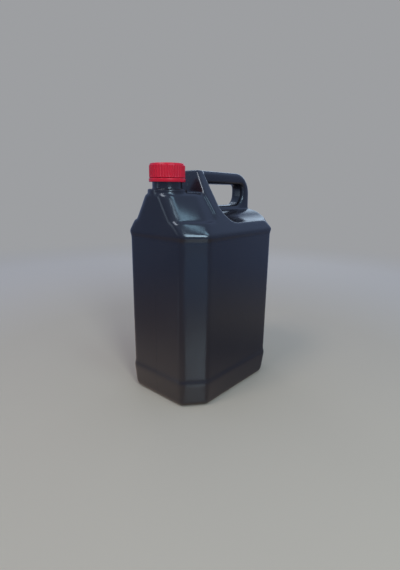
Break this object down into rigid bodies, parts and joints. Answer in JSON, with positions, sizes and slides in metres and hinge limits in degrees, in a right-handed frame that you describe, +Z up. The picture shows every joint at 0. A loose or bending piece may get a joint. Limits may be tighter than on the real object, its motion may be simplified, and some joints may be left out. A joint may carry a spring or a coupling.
{
  "type": "plastic jerrycan",
  "caption": "Oblong blown plastic jerrycan with cut corners, a hooded spout tower, a hollow carry handle and a ribbed screw cap over a tamper band.",
  "frame": {"origin": "bottom centre of the can's footprint, on the surface it stands on", "axes": "+Z up, +X along the long side from spout to handle, +Y to one wide face; the can is symmetric about Y = 0"},
  "size_m": [0.181, 0.131, 0.292],
  "materials": {
    "can_body": "satin",
    "screw_cap": "semi-gloss",
    "sealing_liner": "matt",
    "tamper_band": "semi-gloss"
  },
  "bodies": {
    "can": {"can_body": "can_body", "tamper_band": "tamper_band"},
    "liner": {"sealing_liner": "sealing_liner"},
    "cap": {"screw_cap": "screw_cap"}
  },
  "joints": [
    {"name": "cap_lift", "type": "slide", "parent": "can", "child": "liner", "axis": [0, 0, 1], "range_m": [0, 0.0226]},
    {"name": "cap_turn", "type": "hinge", "parent": "liner", "child": "cap", "pos_m": [-0.0672, 0, 0.28], "axis": [0, 0, 1], "range_deg": [0, 1800]}
  ],
  "couplings": [
    {"joint": "cap_lift", "follows": "cap_turn", "m_per_rad": 0.0007162}
  ]
}
